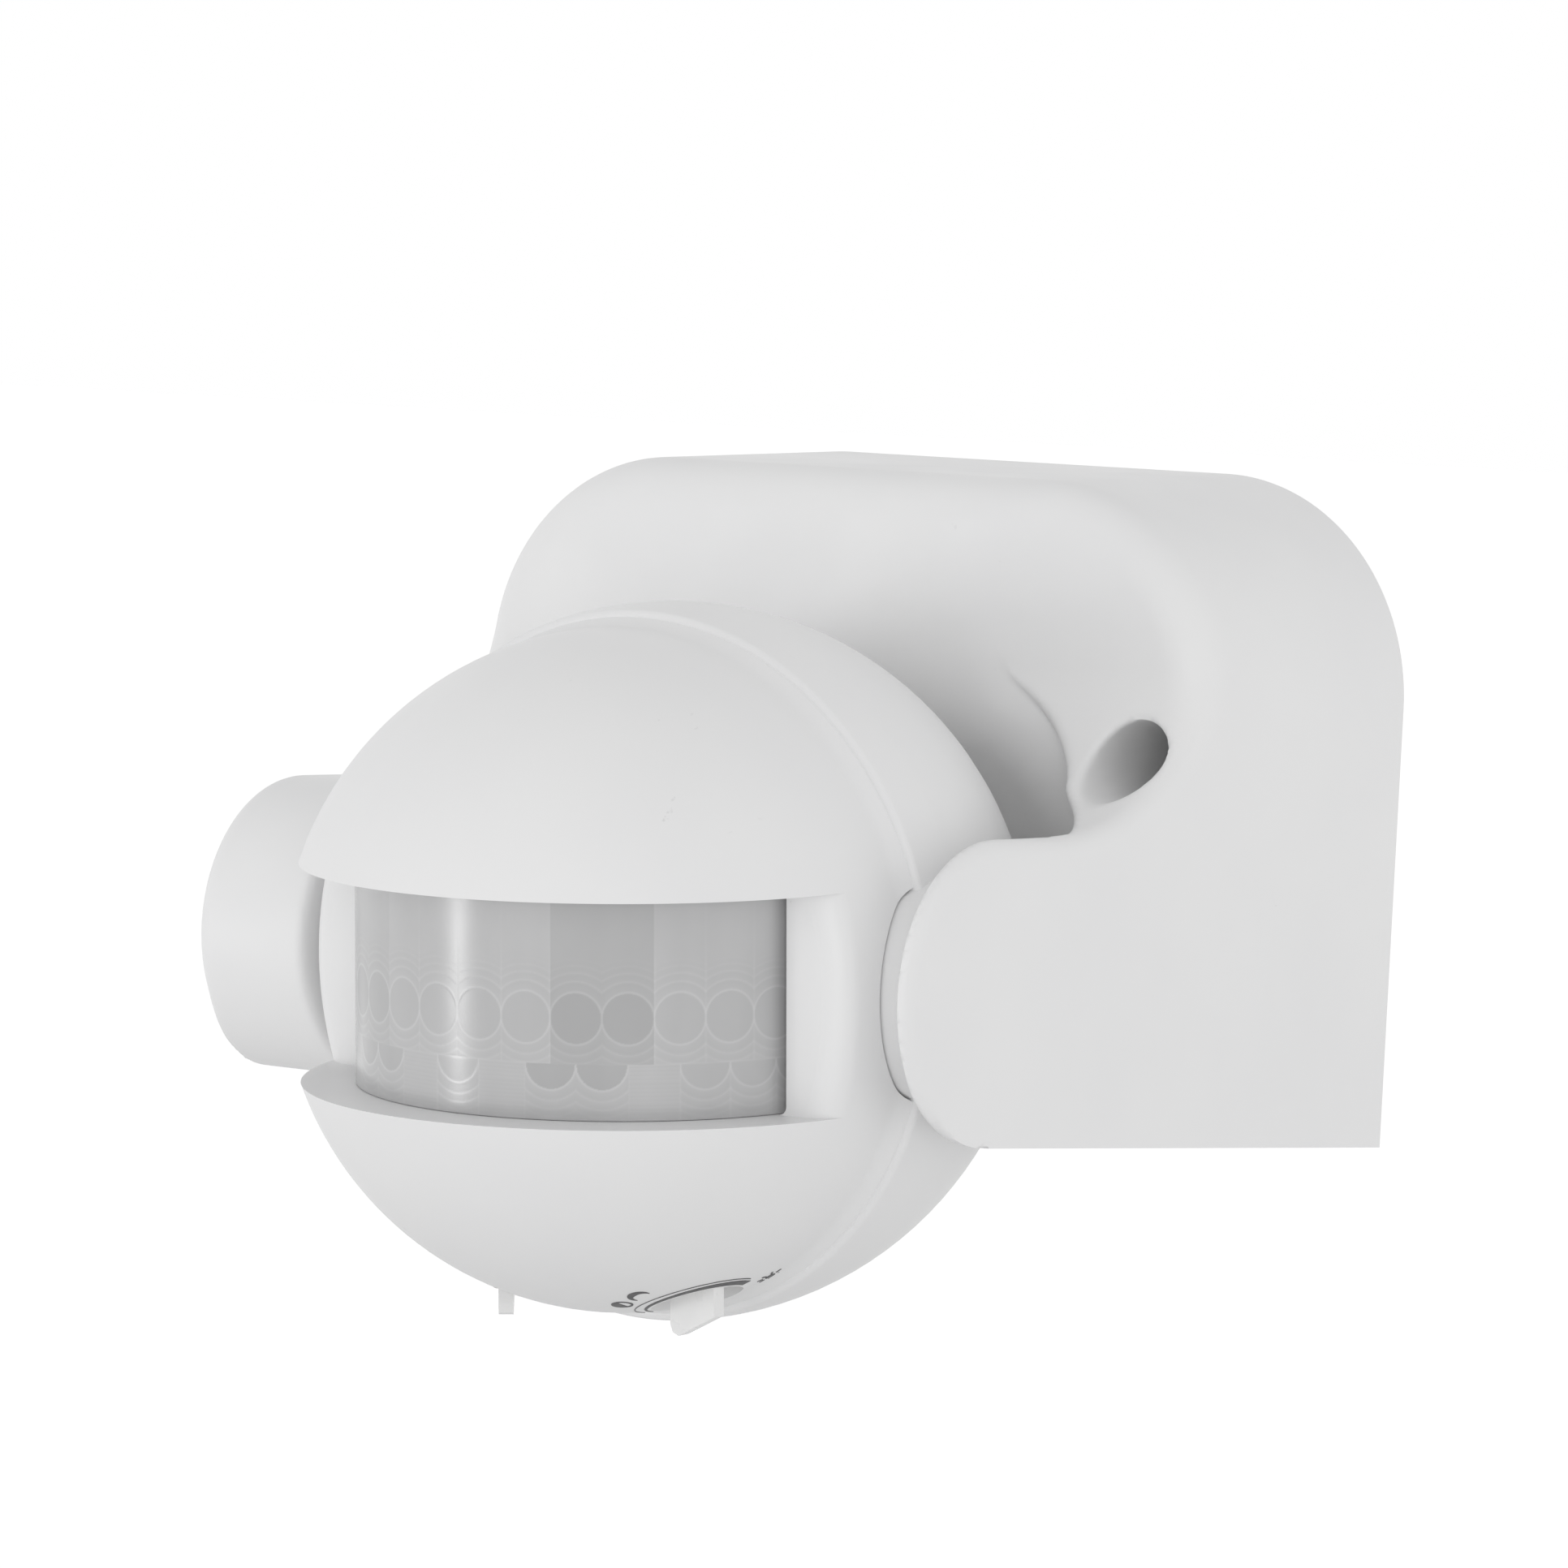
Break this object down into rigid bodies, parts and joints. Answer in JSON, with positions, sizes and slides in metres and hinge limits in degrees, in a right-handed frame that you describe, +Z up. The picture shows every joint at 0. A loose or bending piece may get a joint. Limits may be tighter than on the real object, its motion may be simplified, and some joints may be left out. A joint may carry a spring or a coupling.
{
  "type": "motion sensor",
  "caption": "Wall-mounted infrared motion sensor: two-armed bracket with a tilting ball head, a wide ribbed lens window and small setting knobs underneath.",
  "frame": {"origin": "on the wall face of the back plate, level with the head's pivot", "axes": "+Y into the wall, -Y out towards the room or yard, +Z up, +X to the right when facing the sensor from the front"},
  "size_m": [0.0962, 0.1094, 0.0879],
  "materials": {
    "housing_plastic": "fine satin moulding",
    "knob_plastic": "smooth moulding",
    "lens_plastic": "translucent ribbed polyethylene",
    "natural_plastic": "smooth",
    "terminal_plastic": "smooth",
    "black_rubber": "soft",
    "brass": "machined",
    "screw_steel": "zinc plated",
    "detector_can": "nickel plated",
    "dark_filter": "polished",
    "circuit_board": "solder mask",
    "black_component": "moulded",
    "relay_case": "moulded",
    "capacitor_case": "moulded",
    "lead_insulation": "smooth"
  },
  "bodies": {
    "bracket": {"bracket_housing": "housing_plastic", "back_plate": "housing_plastic", "cable_grommet": "black_rubber", "terminal_block": "terminal_plastic", "terminal_clamps": "brass", "terminal_screws": "screw_steel", "housing_screws": "screw_steel", "pivot_bush": "natural_plastic", "supply_leads": "lead_insulation"},
    "sensor_head": {"rear_cover": "housing_plastic", "front_cover": "housing_plastic", "fresnel_lens": "lens_plastic", "lens_frame": "natural_plastic", "sensor_board": "circuit_board", "power_board": "circuit_board", "board_spacers": "natural_plastic", "board_screws": "screw_steel", "cover_screws": "screw_steel", "pir_detector": "detector_can", "pir_filter": "dark_filter", "light_sensor": "dark_filter", "control_ic": "black_component", "relay": "relay_case", "film_capacitor": "capacitor_case", "electrolytic_capacitors": "black_component", "rectifier_diodes": "black_component", "board_link": "black_component", "head_leads": "lead_insulation", "left_pivot_seal": "black_rubber", "right_pivot_seal": "black_rubber", "friction_washer": "screw_steel", "pivot_clip": "screw_steel", "lux_potentiometer": "relay_case", "time_potentiometer": "relay_case"},
    "lux_control": {"lux_knob": "knob_plastic", "lux_rotor": "natural_plastic"},
    "time_control": {"time_knob": "knob_plastic", "time_rotor": "natural_plastic"}
  },
  "joints": [
    {"name": "head_tilt", "type": "hinge", "parent": "bracket", "child": "sensor_head", "pos_m": [0.0055, -0.068, 0], "axis": [1, 0, 0], "range_deg": [-30, 50]},
    {"name": "lux_turn", "type": "hinge", "parent": "sensor_head", "child": "lux_control", "pos_m": [0.0175, -0.07758, -0.02931], "axis": [0, 0.0837, -0.9965], "range_deg": [-135, 135]},
    {"name": "time_turn", "type": "hinge", "parent": "sensor_head", "child": "time_control", "pos_m": [-0.0065, -0.07758, -0.02931], "axis": [0, 0.0837, -0.9965], "range_deg": [-135, 135]}
  ]
}
